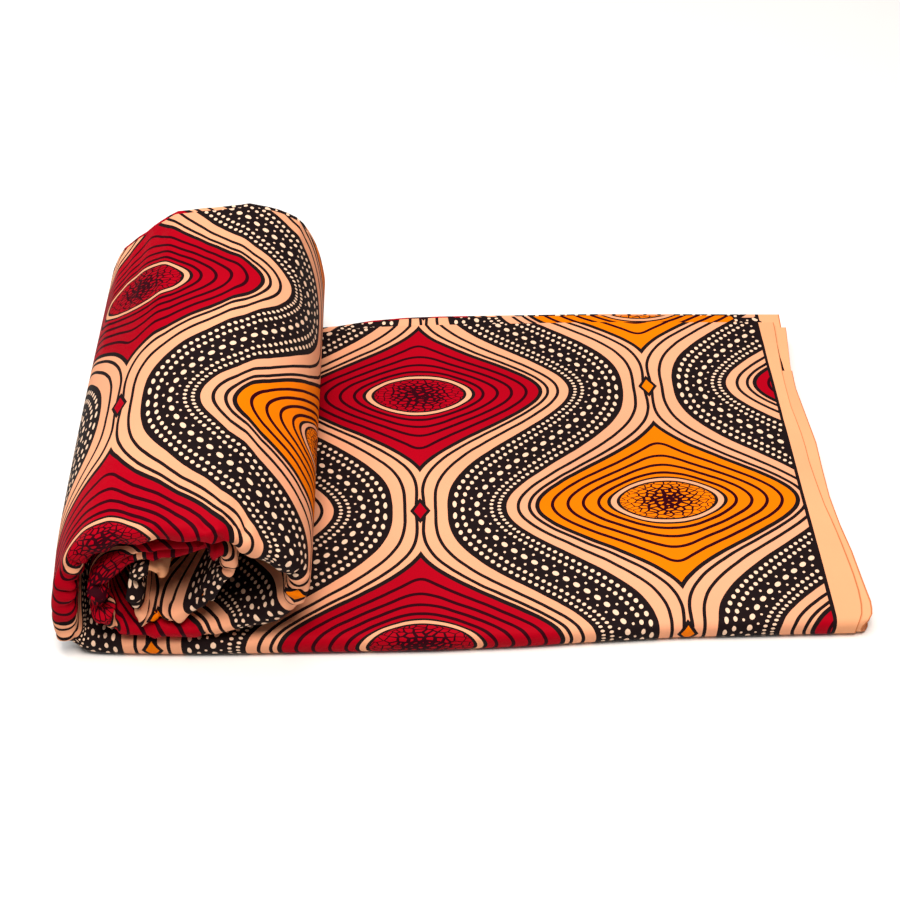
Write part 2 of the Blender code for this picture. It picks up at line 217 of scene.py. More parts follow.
# Where a leaf's edges lie: the columns of END_LINE and FAR_LINE that it follows, how far short of
# them it stops, the depth that its far right corner is drawn in to, how far its printed bar is
# moved, how far it stands out at the roll's far end, and the row of ROLL that it ends at.
Leaf = namedtuple(
    "Leaf", "end_line far_line short_of_end short_of_far corner print_shift rolled_reach last_row"
)
NO_CORNER = 0.3000
CORNER_START = 0.190
CORNER_END = 0.224
TOP_LEAF = Leaf("top_leaf", "top_leaf", 0, 0, NO_CORNER, 0, 0, 47.4)


def flat_leaf(along, outline, leaf, wall, edges):
    """A leaf's points in the flat stretch, and how far each lies from the leaf's selvedge.

    along runs from 0 at the roll to 1 at the selvedge. leaf counts from the outermost, which is 0,
    wall is how far the points lie inside its outer face, and edges is its Leaf.
    """
    share, angle = outline
    back, height = near_fold(angle, NOSE_FULLNESS)
    along = along[:, None]
    half = BAND_THICKNESS / 2 * (1 - leaf / LEAVES) - wall
    inset = leaf * BAND_THICKNESS / 2 / LEAVES + wall
    rough_x = SEAM_X + along * (SELVEDGE_X - SEAM_X)
    near = read_line(NEAR_LINE, "x", "set_back", rough_x) + inset
    far = read_line(FAR_LINE, "x", edges.far_line, rough_x) - edges.short_of_far
    corner = np.interp(rough_x, [CORNER_START, CORNER_END], [NO_CORNER, edges.corner])
    far = np.minimum(far, corner)
    depth = near + share * (far - near) + (1 - share) * NOSE * (half / (BAND_THICKNESS / 2)) * back
    end = read_line(END_LINE, "depth", edges.end_line, depth) - edges.short_of_end
    x = SEAM_X + along * (end - SEAM_X)
    z = BAND_THICKNESS / 2 - height * half + 0 * along
    bar_x = SELVEDGE_X - MARGIN + edges.print_shift
    plain = MARGIN * np.clip((end - x) / (end - bar_x), 0, 1)
    from_selvedge = np.where(x > bar_x, plain, MARGIN + bar_x - x)
    return np.stack([x - MIDDLE_X, NEAR_Y + depth, z], -1), from_selvedge


class Measure:
    """A number that varies over the cloth, worked out by the print's nodes."""

    def __init__(self, tree, socket):
        self.tree = tree
        self.socket = socket

    def calc(self, operation, *others):
        """One step of arithmetic on it, with other measures or plain numbers."""
        node = self.tree.nodes.new("ShaderNodeMath")
        node.operation = operation
        for place, value in enumerate((self, *others)):
            if isinstance(value, Measure):
                self.tree.links.new(value.socket, node.inputs[place])
            else:
                node.inputs[place].default_value = value
        return Measure(self.tree, node.outputs[0])

    def __add__(self, other):
        return self.calc("ADD", other)

    def __sub__(self, other):
        return self.calc("SUBTRACT", other)

    def __mul__(self, other):
        return self.calc("MULTIPLY", other)

    def __truediv__(self, other):
        return self.calc("DIVIDE", other)

    def __gt__(self, other):
        return self.calc("GREATER_THAN", other)

    def __lt__(self, other):
        return self.calc("LESS_THAN", other)

    def size(self):
        return self.calc("ABSOLUTE")

    def to_nearest(self, step):
        """Distance to the nearest whole multiple of step, below it or above."""
        share = self / step
        return (share - share.calc("ROUND")) * step

    def within(self, place, half_width):
        """1 where it is at most half_width from place, and 0 elsewhere."""
        return self.calc("COMPARE", place, half_width)


# The print: wavy bands side by side, each the mirror image of the next, with almonds between them.
# Stripes, contours and rows of dots lie at set distances from the middle of the nearest band.
COLUMN_PITCH = 0.158
REPEAT = 0.208
SWAY = 0.043
PRINT_START = 0.35
HAND_WANDER = 0.0010
WANDER_SCALE = 45
BLACK_BAND = 0.0188
CREAM_BAND = 0.0385
CREAM_STRIPES = (0.38, 0.74)
CONTOUR_STEP = 0.0098
MEDALLION = 0.0845
MEDALLION_RING = 0.0058
ROUNDING = 0.16
LEAST_REACH = 0.0001
LINE = 0.00108
HEAVY_LINE = 0.0014
CRACKS_ACROSS = 190
CRACKS_ALONG = 400
CRACK_WIDTH = 0.07
WIDER_IN_MIDDLE = 0.30
DARK_RADIUS = 0.024
DARK_FLATNESS = 2.2
SIDE_DOT = 0.00125
SIDE_DOT_PITCH = 0.0044
SIDE_DOT_ROWS = (0.0142, 0.0092)
OVAL_PITCH = 0.0078
OVAL_HALF_LENGTH = 0.0022
OVAL_HALF_WIDTH = 0.0016
PIP = 0.0008
PIP_ROW = 0.0044
LOZENGE_HALF_LENGTH = 0.0105
LOZENGE_HALF_WIDTH = 0.0065
LOZENGE_FILL = 0.62
PAINTED_EDGE_SHADE_WIDTH = 0.0008
BAR_PAST_MARGIN = 0.0006
BAR_HALF_WIDTH = 0.0012

# How evenly the dyes took, how matt the cloth is, and its plain weave.
DYE_LEAST = 0.81
DYE_SPREAD = 0.34
MATT = 1.02
LESS_MATT_WHERE_PALE = 0.4
THREAD_PITCH = 0.00052
THREAD_RELIEF = 0.00006

# The dyes, as they look dry, and the bare cloth: cream inside the print, margin outside it. edge is
# painted shade, a darker line along each selvedge for the thin shadow where a leaf's edge lies over
# the leaf below.
INK = {
    "black": (0.0122, 0.0067, 0.0071),
    "cream": (0.815, 0.365, 0.205),
    "red": (0.372, 0.0, 0.0083),
    "orange": (0.835, 0.180, 0.0),
    "wine": (0.0290, 0.0009, 0.0044),
    "dot": (0.860, 0.605, 0.433),
    "margin": (0.845, 0.385, 0.192),
    "edge": (0.570, 0.182, 0.067),
}


def sway_length_terms():
    """The mean and the first two waves of the wavy band's length over one repeat."""
    turn = np.linspace(0, math.pi, 2001)
    slant = 2 * math.pi * SWAY / REPEAT
    length = np.sqrt(1 + (slant * np.sin(turn)) ** 2)
    return (
        float(length.mean()),
        float(2 * (length * np.cos(2 * turn)).mean()),
        float(2 * (length * np.cos(4 * turn)).mean()),
    )


def wax_print(name):
    """Wax print on smooth cotton: wavy dotted bands between rows of almond fields."""
    material = bpy.data.materials.new(name)
    material.use_nodes = True
    tree = material.node_tree
    shader = tree.nodes["Principled BSDF"]
    cloth_map = tree.nodes.new("ShaderNodeUVMap")
    cloth_map.uv_map = "cloth"
    split = tree.nodes.new("ShaderNodeSeparateXYZ")
    tree.links.new(cloth_map.outputs["UV"], split.inputs[0])
    weft = Measure(tree, split.outputs["X"])
    warp = Measure(tree, split.outputs["Y"])

    # weft runs across the cloth from its right-hand selvedge, and warp along it, round the leaves.
    # The lines wander a little from both, as hand-laid wax does.
    wander = tree.nodes.new("ShaderNodeTexNoise")
    wander.noise_dimensions = "2D"
    wander.inputs["Scale"].default_value = WANDER_SCALE
    wander.inputs["Detail"].default_value = 2
    tree.links.new(cloth_map.outputs["UV"], wander.inputs["Vector"])
    wander_split = tree.nodes.new("ShaderNodeSeparateColor")
    tree.links.new(wander.outputs["Color"], wander_split.inputs[0])
    true_weft = weft
    weft = weft + (Measure(tree, wander_split.outputs[0]) - 0.5) * HAND_WANDER
    warp = warp + (Measure(tree, wander_split.outputs[1]) - 0.5) * HAND_WANDER

    # The wavy band nearest to a point: how far it is, and on which side the point lies.
    column = weft / COLUMN_PITCH + PRINT_START
    left = column.calc("FLOOR")
    odd = left.calc("FLOORED_MODULO", 2)
    swing = odd * -2 + 1
    turn = warp * (2 * math.pi / REPEAT)
    band_place = swing * turn.calc("COSINE") * (SWAY / COLUMN_PITCH) + 0.5
    slant = swing * turn.calc("SINE") * (-2 * math.pi * SWAY / REPEAT)
    steepness = (slant * slant + 1).calc("SQRT")
    across = column - left
    aside = (across - band_place) * COLUMN_PITCH / steepness
    away = aside.size()
    bend = swing * turn.calc("COSINE") * (-SWAY * (2 * math.pi / REPEAT) ** 2)
    lean = slant / steepness + aside * slant * bend / (steepness * steepness)
    closeness = (lean * lean + (steepness * steepness).calc("POWER", -1)).calc("SQRT")
    beyond = aside > 0
    orange_cell = (odd + beyond).calc("FLOORED_MODULO", 2)
    from_middle = (across - beyond).size() * COLUMN_PITCH
    along_cell = (warp / REPEAT + orange_cell * 0.5).to_nearest(1) * REPEAT

    # How far along the wavy band the point lies.
    mean, wave, small_wave = sway_length_terms()
    foot = (warp + aside * slant / steepness) * (2 * math.pi / REPEAT)
    band_length = (foot * mean + (foot * 2).calc("SINE") * (wave / 2)) * (REPEAT / 2 / math.pi)
    band_length = band_length + (foot * 4).calc("SINE") * (small_wave / 4 * REPEAT / 2 / math.pi)

    def printed(under, over, where):
        node = tree.nodes.new("ShaderNodeMix")
        node.data_type = "RGBA"
        tree.links.new(where.socket, node.inputs["Factor"])
        for place, dye in (("A", under), ("B", over)):
            if isinstance(dye, str):
                node.inputs[place].default_value = (*INK[dye], 1.0)
            else:
                tree.links.new(dye, node.inputs[place])
        return node.outputs["Result"]

    # Inside an almond, the distance is rounded off where it would have a ridge along the middle, so
    # that the contours turn in curves there.
    to_ridge = from_middle / steepness
    reach = (away + to_ridge - CREAM_BAND).calc("MAXIMUM", LEAST_REACH) * (4 * ROUNDING)
    blend = (to_ridge * -2 / reach + 1).calc("MAXIMUM", 0.0)
    inward = away - blend * blend * reach / 4
    slower = blend * (blend * -1 + 2) * -ROUNDING + 1
    up_lean = lean * slower
    side_lean = (blend * -1 + 1) / steepness
    inward_closeness = (up_lean * up_lean + side_lean * side_lean).calc("SQRT")

    # Almond fields with contour lines, and a crackled seed in each.
    field = printed("red", "orange", orange_cell)
    contour = (inward - CREAM_BAND).to_nearest(CONTOUR_STEP).size() < inward_closeness * LINE
    contour = contour * (away > CREAM_BAND + 4 * LINE)
    look = printed(field, "wine", contour)
    look = printed(look, "black", inward > MEDALLION - HEAVY_LINE)
    look = printed(look, "cream", inward > MEDALLION + LINE)
    look = printed(look, "black", inward > MEDALLION + MEDALLION_RING - LINE)
    crackle_place = tree.nodes.new("ShaderNodeCombineXYZ")
    tree.links.new((weft * CRACKS_ACROSS).socket, crackle_place.inputs[0])
    tree.links.new((warp * CRACKS_ALONG).socket, crackle_place.inputs[1])
    crackle = tree.nodes.new("ShaderNodeTexVoronoi")
    crackle.voronoi_dimensions = "2D"
    crackle.feature = "DISTANCE_TO_EDGE"
    crackle.inputs["Scale"].default_value = 1.0
    tree.links.new(crackle_place.outputs[0], crackle.inputs["Vector"])
    middle = (from_middle * from_middle + along_cell * along_cell * DARK_FLATNESS).calc("SQRT")
    vein = (middle / -DARK_RADIUS + 1.0).calc("MAXIMUM", 0.0) * WIDER_IN_MIDDLE + CRACK_WIDTH
    seed = inward > MEDALLION + MEDALLION_RING + LINE
    islands = (Measure(tree, crackle.outputs["Distance"]) > vein) * seed
    look = printed(look, "wine", seed)
    look = printed(look, field, islands)

    # Cream stripes and the dotted black band.
    look = printed(look, "cream", away < CREAM_BAND)
    look = printed(look, "black", away.within(CREAM_BAND, closeness * HEAVY_LINE))
    for stripe in CREAM_STRIPES:
        place = BLACK_BAND + stripe * (CREAM_BAND - BLACK_BAND)
        look = printed(look, "black", away.within(place, closeness * LINE))
    look = printed(look, "black", away < BLACK_BAND)
    turn_length = REPEAT * mean
    side_pitch = turn_length / round(turn_length / SIDE_DOT_PITCH)
    for number, row in enumerate(SIDE_DOT_ROWS):
        side_step = (band_length + side_pitch / 2 * number).to_nearest(side_pitch)
        side_row = away - row
        side_dot = (side_step * side_step + side_row * side_row) < SIDE_DOT**2
        look = printed(look, "dot", side_dot)
    oval_pitch = turn_length / round(turn_length / OVAL_PITCH)
    oval_step = (band_length + oval_pitch / 2).to_nearest(oval_pitch) / OVAL_HALF_LENGTH
    oval_row = aside / OVAL_HALF_WIDTH
    look = printed(look, "dot", (oval_step * oval_step + oval_row * oval_row) < 1)
    pip_step = band_length.to_nearest(oval_pitch)
    pip_row = away - PIP_ROW
    look = printed(look, "dot", (pip_step * pip_step + pip_row * pip_row) < PIP**2)

    # A small lozenge at each neck between two almonds, the plain margin at the selvedges, and painted
    # shade along each selvedge's very edge, for the shadow where a leaf's edge lies over the leaf
    # below.
    to_neck = (along_cell.size() * -1 + REPEAT / 2) / LOZENGE_HALF_LENGTH
    lozenge = from_middle / LOZENGE_HALF_WIDTH + to_neck
    look = printed(look, "black", lozenge < 1)
    look = printed(look, field, lozenge < LOZENGE_FILL)
    to_selvedge = (true_weft - CLOTH_WIDTH / 2).size() * -1 + CLOTH_WIDTH / 2
    look = printed(look, "margin", to_selvedge < MARGIN)
    # Painted shade: a darker line at the selvedge, standing in for the shadow under a leaf's edge.
    look = printed(look, "edge", to_selvedge < PAINTED_EDGE_SHADE_WIDTH)
    look = printed(look, "black", to_selvedge.within(MARGIN + BAR_PAST_MARGIN, BAR_HALF_WIDTH))

    # The dyes take a little unevenly, and the cloth is a little less matt where it is paler.
    patches = tree.nodes.new("ShaderNodeTexNoise")
    patches.noise_dimensions = "2D"
    patches.inputs["Scale"].default_value = 9
    patches.inputs["Detail"].default_value = 5
    tree.links.new(cloth_map.outputs["UV"], patches.inputs["Vector"])
    brightness = Measure(tree, patches.outputs["Fac"]) * DYE_SPREAD + DYE_LEAST
    toned = tree.nodes.new("ShaderNodeHueSaturation")
    tree.links.new(brightness.socket, toned.inputs["Value"])
    tree.links.new(look, toned.inputs["Color"])
    tree.links.new(toned.outputs["Color"], shader.inputs["Base Color"])
    matt = brightness * -LESS_MATT_WHERE_PALE + MATT
    tree.links.new(matt.socket, shader.inputs["Roughness"])
    shader.inputs["Specular IOR Level"].default_value = 0.03

    # Plain weave.
    threads = None
    for measure in (weft, warp):
        wave = (measure * (2 * math.pi / THREAD_PITCH)).calc("SINE")
        threads = wave if threads is None else threads * wave
    bump = tree.nodes.new("ShaderNodeBump")
    bump.inputs["Strength"].default_value = 0.25
    bump.inputs["Distance"].default_value = THREAD_RELIEF
    tree.links.new(threads.socket, bump.inputs["Height"])
    tree.links.new(bump.outputs["Normal"], shader.inputs["Normal"])
    return material


cotton = wax_print("wax_printed_cotton")


def dress(piece, node, from_selvedge, round_fold):
    """Gives a stretch of the outer leaf its print and its body."""
    piece.data.materials.append(cotton)
    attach(piece, "root")
    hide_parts(node)
    width = float(from_selvedge[-1].mean() - from_selvedge[0].mean())
    length = float((round_fold[:, 0] - round_fold[:, -1]).mean())


outline = leaf_outline(face_points=36, nose_points=25)
along = rows_along(close_from=0.93, wide_rows=58, close_rows=14)
outer, from_selvedge = flat_leaf(along, outline, 0, 0, TOP_LEAF)
inner = flat_leaf(along, outline, 0, CLOTH_THICKNESS, TOP_LEAF)[0]
round_fold = round_the_leaf(outer, outline)
flat_top = cloth_piece("outer_leaf_flat", [(outer, inner, from_selvedge, round_fold)])
dress(flat_top, "flat_stretch", from_selvedge, round_fold)

# Outer leaf, rolled stretches
# The same leaf where the band is rolled up. Its underside is the outside of the roll, and its near
# fold winds in to the core. The turns hold each other by their own stiffness.

# The roll's sections, each a straight line along the middle of the band's thickness, from its near
# fold to its far edge. set_back and draw_in are how far those two keep from the planes of the near
# fold and of a full FOLD_DEPTH.
Section = namedtuple("Section", "x_near z_near x_far z_far set_back draw_in thickness")
ROLL = [
    Section(-0.1350, BAND_THICKNESS / 2, -0.1350, BAND_THICKNESS / 2, 0.0002, 0.0050, BAND_THICKNESS),
    Section(-0.1700, BAND_THICKNESS / 2, -0.1680, BAND_THICKNESS / 2, 0.0008, 0.0030, BAND_THICKNESS),
    Section(-0.1980, BAND_THICKNESS / 2, -0.1950, BAND_THICKNESS / 2, 0.0018, 0.0012, BAND_THICKNESS),
    Section(-0.2190, 0.0079, -0.2130, 0.0090, 0.0026, 0.0004, BAND_THICKNESS),
    Section(-0.2304, 0.0132, -0.2250, 0.0170, 0.0034, 0.0000, BAND_THICKNESS),
    Section(-0.2343, 0.0256, -0.2316, 0.0300, 0.0045, 0.0000, BAND_THICKNESS),
    Section(-0.2333, 0.0430, -0.2332, 0.0470, 0.0060, 0.0000, BAND_THICKNESS),
    Section(-0.2300, 0.0575, -0.2315, 0.0630, 0.0085, 0.0000, BAND_THICKNESS),
    Section(-0.2225, 0.0720, -0.2230, 0.0790, 0.0115, 0.0000, BAND_THICKNESS),
    Section(-0.2110, 0.0850, -0.2065, 0.0945, 0.0120, 0.0000, BAND_THICKNESS),
    Section(-0.1960, 0.0958, -0.1870, 0.1080, 0.0095, 0.0002, BAND_THICKNESS),
    Section(-0.1780, 0.1040, -0.1700, 0.1125, 0.0060, 0.0005, BAND_THICKNESS),
    Section(-0.1590, 0.1090, -0.1530, 0.1145, 0.0025, 0.0005, BAND_THICKNESS),
    Section(-0.1420, 0.1085, -0.1370, 0.1150, 0.0005, 0.0005, BAND_THICKNESS),
    Section(-0.1270, 0.1025, -0.1205, 0.1108, 0.0000, 0.0008, BAND_THICKNESS),
    Section(-0.1135, 0.0925, -0.1095, 0.1022, 0.0010, 0.0010, BAND_THICKNESS),
    Section(-0.1025, 0.0810, -0.1030, 0.0885, 0.0030, 0.0012, BAND_THICKNESS),
    Section(-0.0965, 0.0680, -0.0996, 0.0710, 0.0045, 0.0015, BAND_THICKNESS),
    Section(-0.0975, 0.0545, -0.0993, 0.0550, 0.0040, 0.0020, BAND_THICKNESS),
    Section(-0.1050, 0.0425, -0.1040, 0.0415, 0.0035, 0.0024, BAND_THICKNESS),
    Section(-0.1175, 0.0330, -0.1150, 0.0315, 0.0030, 0.0024, BAND_THICKNESS),
    Section(-0.1330, 0.0257, -0.1310, 0.0247, 0.0024, 0.0022, BAND_THICKNESS),
    Section(-0.1500, 0.0223, -0.1490, 0.0223, 0.0018, 0.0020, BAND_THICKNESS),
    Section(-0.1690, 0.0218, -0.1670, 0.0218, 0.0014, 0.0020, 0.0138),
    Section(-0.1860, 0.0218, -0.1855, 0.0218, 0.0012, 0.0022, 0.0132),
    Section(-0.1982, 0.0235, -0.1990, 0.0233, 0.0014, 0.0026, 0.0128),
    Section(-0.2070, 0.0300, -0.2095, 0.0292, 0.0022, 0.0030, 0.0124),
    Section(-0.2115, 0.0400, -0.2158, 0.0390, 0.0038, 0.0034, 0.0122),
    Section(-0.2112, 0.0515, -0.2170, 0.0520, 0.0056, 0.0036, 0.0121),
    Section(-0.2078, 0.0615, -0.2135, 0.0645, 0.0074, 0.0036, 0.0120),
    Section(-0.2008, 0.0702, -0.2045, 0.0762, 0.0105, 0.0034, 0.0119),
    Section(-0.1908, 0.0780, -0.1905, 0.0865, 0.0108, 0.0030, 0.0118),
    Section(-0.1780, 0.0852, -0.1765, 0.0940, 0.0098, 0.0028, 0.0117),
    Section(-0.1630, 0.0900, -0.1600, 0.0978, 0.0085, 0.0028, 0.0114),
    Section(-0.1485, 0.0920, -0.1430, 0.0985, 0.0070, 0.0030, 0.0110),
    Section(-0.1403, 0.0910, -0.1280, 0.0945, 0.0058, 0.0034, 0.0104),
    Section(-0.1334, 0.0864, -0.1210, 0.0850, 0.0050, 0.0038, 0.0100),
    Section(-0.1336, 0.0774, -0.1212, 0.0725, 0.0050, 0.0042, 0.0096),
    Section(-0.1416, 0.0638, -0.1268, 0.0595, 0.0052, 0.0046, 0.0092),
    Section(-0.1516, 0.0492, -0.1370, 0.0475, 0.0048, 0.0050, 0.0090),
    Section(-0.1632, 0.0385, -0.1500, 0.0388, 0.0040, 0.0052, 0.0088),
    Section(-0.1759, 0.0336, -0.1640, 0.0346, 0.0030, 0.0054, 0.0086),
    Section(-0.1872, 0.0344, -0.1770, 0.0370, 0.0030, 0.0056, 0.0084),
    Section(-0.1908, 0.0436, -0.1848, 0.0450, 0.0042, 0.0058, 0.0082),
    Section(-0.1897, 0.0568, -0.1858, 0.0560, 0.0056, 0.0060, 0.0080),
    Section(-0.1868, 0.0655, -0.1795, 0.0660, 0.0076, 0.0062, 0.0078),
    Section(-0.1803, 0.0706, -0.1680, 0.0712, 0.0095, 0.0064, 0.0076),
    Section(-0.1740, 0.0660, -0.1585, 0.0672, 0.0115, 0.0066, 0.0074),
    Section(-0.1735, 0.0520, -0.1560, 0.0590, 0.0140, 0.0068, 0.0072),
]
ROLL_TABLE = np.array(ROLL)

# The roll's soft creases: the row of ROLL that each lies at, its place across the band's depth,
# half-length in rows, half-width across, and the rise of the surface, negative for a trough.
Crease = namedtuple("Crease", "row across half_rows half_across rise")
CREASES = [
    Crease(6.8, 0.00, 1.5, 0.10, -0.0022),
    Crease(6.5, 0.50, 2.0, 0.35, 0.0011),
    Crease(10.5, 0.02, 1.2, 0.10, -0.0020),
    Crease(13.5, 0.05, 0.8, 0.16, 0.0014),
    Crease(12.0, 0.93, 1.3, 0.12, -0.0010),
    Crease(19.0, 0.04, 1.0, 0.12, 0.0018),
    Crease(21.0, 0.10, 0.8, 0.20, -0.0010),
    Crease(30.0, 0.02, 0.9, 0.08, -0.0012),
    Crease(39.5, 0.00, 1.0, 0.10, 0.0012),
    Crease(43.0, 0.02, 0.8, 0.12, -0.0010),
]


def read_roll(places):
    """Sections of the roll at places in its table, on a smooth curve through its rows."""
    last = len(ROLL_TABLE) - 1
    places = np.clip(places, 0, last)
    index = np.minimum(places.astype(int), last - 1)
    share = (places - index)[:, None]
    before_first = 2 * ROLL_TABLE[:1] - ROLL_TABLE[1:2]
    after_last = 2 * ROLL_TABLE[-1:] - ROLL_TABLE[-2:-1]
    rows = np.concatenate([before_first, ROLL_TABLE, after_last])
    a, b, c, d = (rows[index + step] for step in range(4))
    cubed = (3 * b - a - 3 * c + d) * share**3
    curve = 2 * b + (c - a) * share + (2 * a - 5 * b + 4 * c - d) * share**2 + cubed
    return Section(*(curve.T / 2))


HEADING_REACH = 0.05


def heading(places):
    """The band's direction of travel in X and Z, at the near fold and at the far edge."""
    before, after = read_roll(places - HEADING_REACH), read_roll(places + HEADING_REACH)
    near = np.stack([after.x_near - before.x_near, after.z_near - before.z_near], -1)
    far = np.stack([after.x_far - before.x_far, after.z_far - before.z_far], -1)
    near /= np.linalg.norm(near, axis=1, keepdims=True)
    far /= np.linalg.norm(far, axis=1, keepdims=True)
    return near, far


FINE_PLACES = np.linspace(0, len(ROLL) - 1, 6001)
OUTER_TURN_END = 22
SECOND_TURN_END = 34


def outside_travel():
    """How far the band's outside has travelled at each fine place, at the fold and the far edge."""
    section = read_roll(FINE_PLACES)
    near_heading, far_heading = heading(FINE_PLACES)
    travelled = []
    for x, z, way in (
        (section.x_near, section.z_near, near_heading),
        (section.x_far, section.z_far, far_heading),
    ):
        outside_x = x - way[:, 1] * section.thickness / 2
        outside_z = z + way[:, 0] * section.thickness / 2
        steps = np.hypot(np.diff(outside_x), np.diff(outside_z))
        travelled.append(np.concatenate([[0], np.cumsum(steps)]))
    return travelled


NEAR_TRAVEL, FAR_TRAVEL = outside_travel()

# The smaller wrinkles at the near mouth. lean is how many rows a wrinkle runs along the band for
# each whole depth across it. inside is 1 where only the cloth inside the bend is puckered. At a
# crispness of 2 a wrinkle would be a smooth bell.
Wrinkle = namedtuple("Wrinkle", "row across half_rows half_across rise lean inside")
WRINKLES = [
    Wrinkle(3.9, 0.00, 0.22, 0.05, -0.0011, 6.0, 0),
    Wrinkle(4.7, 0.00, 0.20, 0.04, 0.0011, 4.0, 0),
    Wrinkle(5.6, 0.01, 0.15, 0.03, -0.0008, 0.0, 0),
    Wrinkle(6.9, 0.02, 0.11, 0.03, 0.0010, 2.0, 1),
    Wrinkle(7.3, 0.02, 0.10, 0.04, 0.0013, 3.0, 1),
    Wrinkle(7.75, 0.02, 0.12, 0.03, 0.0010, 0.0, 1),
    Wrinkle(8.1, 0.02, 0.10, 0.05, 0.0014, 2.0, 1),
    Wrinkle(8.6, 0.02, 0.13, 0.04, 0.0012, -2.0, 1),
    Wrinkle(9.5, 0.00, 0.20, 0.05, -0.0010, 5.0, 0),
    Wrinkle(12.9, 0.00, 0.18, 0.06, -0.0008, 4.0, 0),
    Wrinkle(13.75, 0.00, 0.17, 0.10, -0.0013, -5.0, 0),
    Wrinkle(14.25, 0.00, 0.20, 0.07, 0.0014, -7.0, 0),
    Wrinkle(14.8, 0.01, 0.16, 0.05, -0.0010, -4.0, 0),
    Wrinkle(16.6, 0.02, 0.14, 0.04, 0.0012, 2.0, 1),
    Wrinkle(17.3, 0.02, 0.12, 0.05, 0.0014, -2.0, 1),
    Wrinkle(18.2, 0.00, 0.14, 0.03, -0.0016, 0.0, 0),
    Wrinkle(27.3, 0.02, 0.12, 0.05, 0.0014, 0.0, 1),
    Wrinkle(28.0, 0.02, 0.12, 0.07, 0.0018, 3.0, 1),
    Wrinkle(28.7, 0.02, 0.14, 0.05, 0.0014, -2.0, 1),
    Wrinkle(44.4, 0.02, 0.13, 0.08, 0.0014, 0.0, 1),
]
WRINKLE_CRISPNESS = 1.3

# How the near fold is pressed along the roll. A fullness below that of the flat stretch is boxier,
# and one above it is more pinched. push is how far the fold is pushed in.
Press = namedtuple("Press", "row fullness push")
PRESSES = [
    Press(0.0, 0.80, 0.0000),
    Press(2.0, 0.80, 0.0000),
    Press(3.2, 0.70, 0.0004),
    Press(4.0, 1.00, 0.0013),
    Press(4.5, 0.75, 0.0003),
    Press(5.6, 0.70, 0.0000),
    Press(6.6, 0.80, 0.0006),
    Press(7.1, 0.65, 0.0000),
    Press(7.6, 0.90, 0.0014),
    Press(8.2, 0.65, 0.0003),
    Press(8.9, 0.90, 0.0015),
    Press(9.4, 0.80, 0.0003),
    Press(10.0, 0.95, 0.0021),
    Press(10.7, 0.75, 0.0003),
    Press(11.5, 0.95, 0.0016),
    Press(12.1, 0.75, 0.0000),
    Press(12.8, 0.90, 0.0012),
    Press(13.3, 0.75, 0.0004),
    Press(13.8, 1.15, 0.0036),
    Press(14.3, 0.75, 0.0006),
    Press(15.2, 1.00, 0.0010),
    Press(16.2, 0.80, 0.0000),
    Press(17.4, 1.20, 0.0021),
    Press(18.1, 0.65, 0.0003),
    Press(18.8, 1.20, 0.0016),
    Press(19.8, 0.80, 0.0000),
    Press(21.2, 1.00, 0.0010),
    Press(22.5, 0.70, 0.0000),
    Press(24.0, 1.00, 0.0014),
    Press(25.2, 0.70, 0.0003),
    Press(26.0, 0.90, 0.0018),
    Press(26.8, 0.60, 0.0003),
    Press(27.6, 0.95, 0.0023),
    Press(28.3, 0.60, 0.0005),
    Press(29.0, 0.90, 0.0016),
    Press(30.2, 0.80, 0.0003),
    Press(31.6, 1.10, 0.0016),
    Press(33.0, 0.70, 0.0002),
    Press(34.2, 1.10, 0.0024),
    Press(34.9, 0.70, 0.0004),
    Press(35.8, 1.00, 0.0018),
    Press(36.8, 0.70, 0.0000),
    Press(37.8, 1.05, 0.0020),
    Press(38.6, 0.60, 0.0003),
    Press(39.5, 0.95, 0.0014),
    Press(40.4, 0.55, 0.0000),
    Press(41.2, 1.05, 0.0019),
    Press(41.9, 0.60, 0.0003),
    Press(42.8, 1.00, 0.0018),
    Press(43.6, 0.60, 0.0000),
    Press(44.4, 1.00, 0.0022),
    Press(45.3, 0.70, 0.0006),
    Press(46.2, 1.00, 0.0018),
    Press(47.2, 0.80, 0.0003),
    Press(48.0, 1.00, 0.0008),
]

